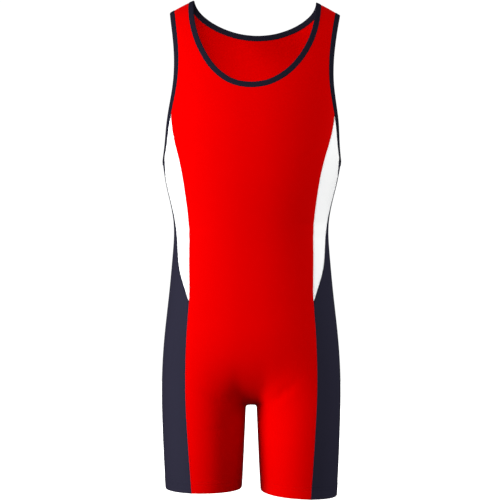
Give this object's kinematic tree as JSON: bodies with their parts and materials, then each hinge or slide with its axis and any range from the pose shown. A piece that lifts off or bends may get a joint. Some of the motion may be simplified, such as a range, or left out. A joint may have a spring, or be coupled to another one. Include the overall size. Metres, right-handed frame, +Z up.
{
  "type": "wrestling singlet",
  "caption": "Sleeveless one-piece wrestling singlet with scoop neck, bound straps, contrast side panels and short legs, filled out as worn.",
  "frame": {"origin": "midway between the two straps at the level where shoulders carry them", "axes": "+Z up along the body, the front faces -Y, +X is to the right of someone who looks at the front"},
  "size_m": [0.3203, 0.2344, 0.8799],
  "materials": {
    "red_cloth": "smooth warp-knit nylon and elastane with a soft sheen",
    "white_cloth": "smooth warp-knit nylon and elastane with a soft sheen",
    "navy_cloth": "smooth warp-knit nylon and elastane with a soft sheen",
    "navy_binding": "folded stretch binding, duller than the panels"
  },
  "bodies": {
    "root": {"front_panel": "red_cloth", "back_panel": "red_cloth", "side_insert_left": "white_cloth", "side_insert_right": "white_cloth", "side_panel_left": "navy_cloth", "side_panel_right": "navy_cloth", "neck_binding": "navy_binding", "armhole_binding_left": "navy_binding", "armhole_binding_right": "navy_binding"}
  },
  "joints": []
}
